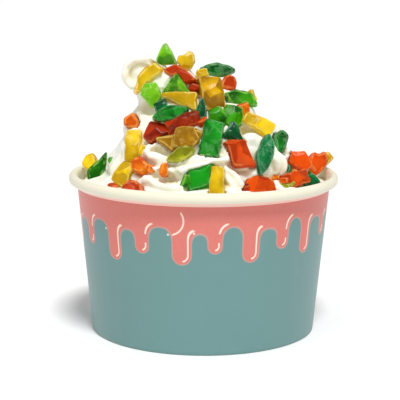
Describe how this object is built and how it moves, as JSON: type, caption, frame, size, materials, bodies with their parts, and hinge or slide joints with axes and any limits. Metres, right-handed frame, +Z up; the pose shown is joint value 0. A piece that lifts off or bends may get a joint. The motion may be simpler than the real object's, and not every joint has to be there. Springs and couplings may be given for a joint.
{
  "type": "soft serve cup",
  "caption": "Round paper cup heaped with a swirl of soft serve ice cream whose tip curls over, strewn with small chopped fruit jellies.",
  "frame": {"origin": "centre of the circle on which the cup stands", "axes": "+Z up, -Y towards the front, +X to the right of a viewer who faces the front"},
  "size_m": [0.097, 0.097, 0.103],
  "materials": {
    "printed_paper": "coated paper board, satin, printed",
    "plain_paper": "coated paper board, satin",
    "cream": "soft and slightly moist, stands in for ice cream",
    "jelly_green": "translucent, stands in for fruit jelly",
    "jelly_emerald": "translucent, stands in for fruit jelly",
    "jelly_yellow": "translucent, stands in for fruit jelly",
    "jelly_amber": "translucent, stands in for fruit jelly",
    "jelly_orange": "translucent, stands in for fruit jelly",
    "jelly_red": "translucent, stands in for fruit jelly",
    "jelly_garnet": "translucent, stands in for fruit jelly",
    "jelly_olive": "translucent, stands in for fruit jelly"
  },
  "bodies": {
    "root": {"cup_base": "plain_paper", "cup_wall": "printed_paper", "jelly_amber_01": "jelly_amber", "jelly_amber_02": "jelly_amber", "jelly_amber_03": "jelly_amber", "jelly_emerald_01": "jelly_emerald", "jelly_emerald_02": "jelly_emerald", "jelly_emerald_03": "jelly_emerald", "jelly_emerald_04": "jelly_emerald", "jelly_emerald_05": "jelly_emerald", "jelly_emerald_06": "jelly_emerald", "jelly_garnet_01": "jelly_garnet", "jelly_garnet_02": "jelly_garnet", "jelly_garnet_03": "jelly_garnet", "jelly_garnet_04": "jelly_garnet", "jelly_green_01": "jelly_green", "jelly_green_02": "jelly_green", "jelly_green_03": "jelly_green", "jelly_green_04": "jelly_green", "jelly_green_05": "jelly_green", "jelly_green_06": "jelly_green", "jelly_green_07": "jelly_green", "jelly_green_08": "jelly_green", "jelly_green_09": "jelly_green", "jelly_green_10": "jelly_green", "jelly_green_11": "jelly_green", "jelly_green_12": "jelly_green", "jelly_green_13": "jelly_green", "jelly_green_14": "jelly_green", "jelly_green_15": "jelly_green", "jelly_olive_01": "jelly_olive", "jelly_orange_01": "jelly_orange", "jelly_orange_02": "jelly_orange", "jelly_orange_03": "jelly_orange", "jelly_orange_04": "jelly_orange", "jelly_red_01": "jelly_red", "jelly_red_02": "jelly_red", "jelly_red_03": "jelly_red", "jelly_red_04": "jelly_red", "jelly_red_05": "jelly_red", "jelly_red_06": "jelly_red", "jelly_red_07": "jelly_red", "jelly_red_08": "jelly_red", "jelly_red_09": "jelly_red", "jelly_red_10": "jelly_red", "jelly_yellow_01": "jelly_yellow", "jelly_yellow_02": "jelly_yellow", "jelly_yellow_03": "jelly_yellow", "jelly_yellow_04": "jelly_yellow", "jelly_yellow_05": "jelly_yellow", "jelly_yellow_06": "jelly_yellow", "jelly_yellow_07": "jelly_yellow", "jelly_yellow_08": "jelly_yellow", "jelly_yellow_09": "jelly_yellow", "jelly_yellow_10": "jelly_yellow", "jelly_yellow_11": "jelly_yellow", "jelly_yellow_12": "jelly_yellow", "jelly_yellow_13": "jelly_yellow", "jelly_yellow_14": "jelly_yellow", "soft_serve": "cream"}
  },
  "joints": []
}
